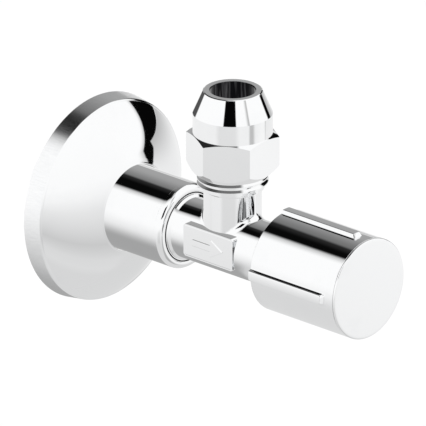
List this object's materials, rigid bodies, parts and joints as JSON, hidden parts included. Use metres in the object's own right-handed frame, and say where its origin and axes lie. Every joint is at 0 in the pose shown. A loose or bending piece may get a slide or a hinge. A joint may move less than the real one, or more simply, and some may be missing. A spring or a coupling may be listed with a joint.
{
  "type": "angle stop valve",
  "caption": "Chrome angle stop valve: threaded wall inlet with a round rosette, upward compression outlet for a thin pipe, and a ribbed round handle on the front.",
  "frame": {"origin": "on the valve axis at the back rim of the rosette, which rests on the wall", "axes": "+X along the valve axis, out of the wall and towards the handle; +Z along the outlet axis, up towards the pipe; +Y to the left when facing the wall with the outlet up"},
  "size_m": [0.0986, 0.05, 0.063],
  "materials": {
    "chrome": "polished chrome plate on brass",
    "brass": "machined",
    "steel": "stainless, machined",
    "rubber": "moulded",
    "ptfe": "turned",
    "white_plastic": "moulded",
    "grey_plastic": "moulded"
  },
  "bodies": {
    "valve": {"inlet_nipple": "chrome", "inlet_seal_ring": "ptfe", "valve_body": "chrome", "body_o_ring": "rubber", "bonnet": "brass", "bonnet_seal_ring": "rubber", "thrust_washer": "ptfe"},
    "rosette": {"rosette": "chrome", "rosette_grip_ring": "white_plastic"},
    "olive": {"compression_olive": "brass"},
    "nut": {"compression_nut": "chrome"},
    "piston": {"valve_piston": "brass", "piston_o_ring": "rubber", "seat_washer": "rubber", "washer_screw": "steel"},
    "handle": {"handle_shell": "chrome", "handle_insert": "grey_plastic", "screw_washer": "steel", "handle_screw": "steel", "handle_cap": "chrome", "spindle": "brass", "spindle_o_ring_inner": "rubber", "spindle_o_ring_outer": "rubber", "spindle_clip": "steel"}
  },
  "joints": [
    {"name": "rosette_slide", "type": "slide", "parent": "valve", "child": "rosette", "axis": [1, 0, 0], "range_m": [0, 0.014]},
    {"name": "handle_turn", "type": "hinge", "parent": "valve", "child": "handle", "pos_m": [0.0725, 0, 0], "axis": [1, 0, 0], "range_deg": [0, 1260]},
    {"name": "piston_slide", "type": "slide", "parent": "valve", "child": "piston", "axis": [1, 0, 0], "range_m": [0, 0.00525]},
    {"name": "olive_slide", "type": "slide", "parent": "valve", "child": "olive", "axis": [0, 0, 1], "range_m": [0, 0.00602]},
    {"name": "nut_turn", "type": "hinge", "parent": "olive", "child": "nut", "pos_m": [0.0431, 0, 0.025], "axis": [0, 0, 1], "range_deg": [0, 1620]}
  ],
  "couplings": [
    {"joint": "handle_turn", "follows": "piston_slide", "rad_per_m": 4188.8},
    {"joint": "nut_turn", "follows": "olive_slide", "rad_per_m": 4699.5}
  ]
}
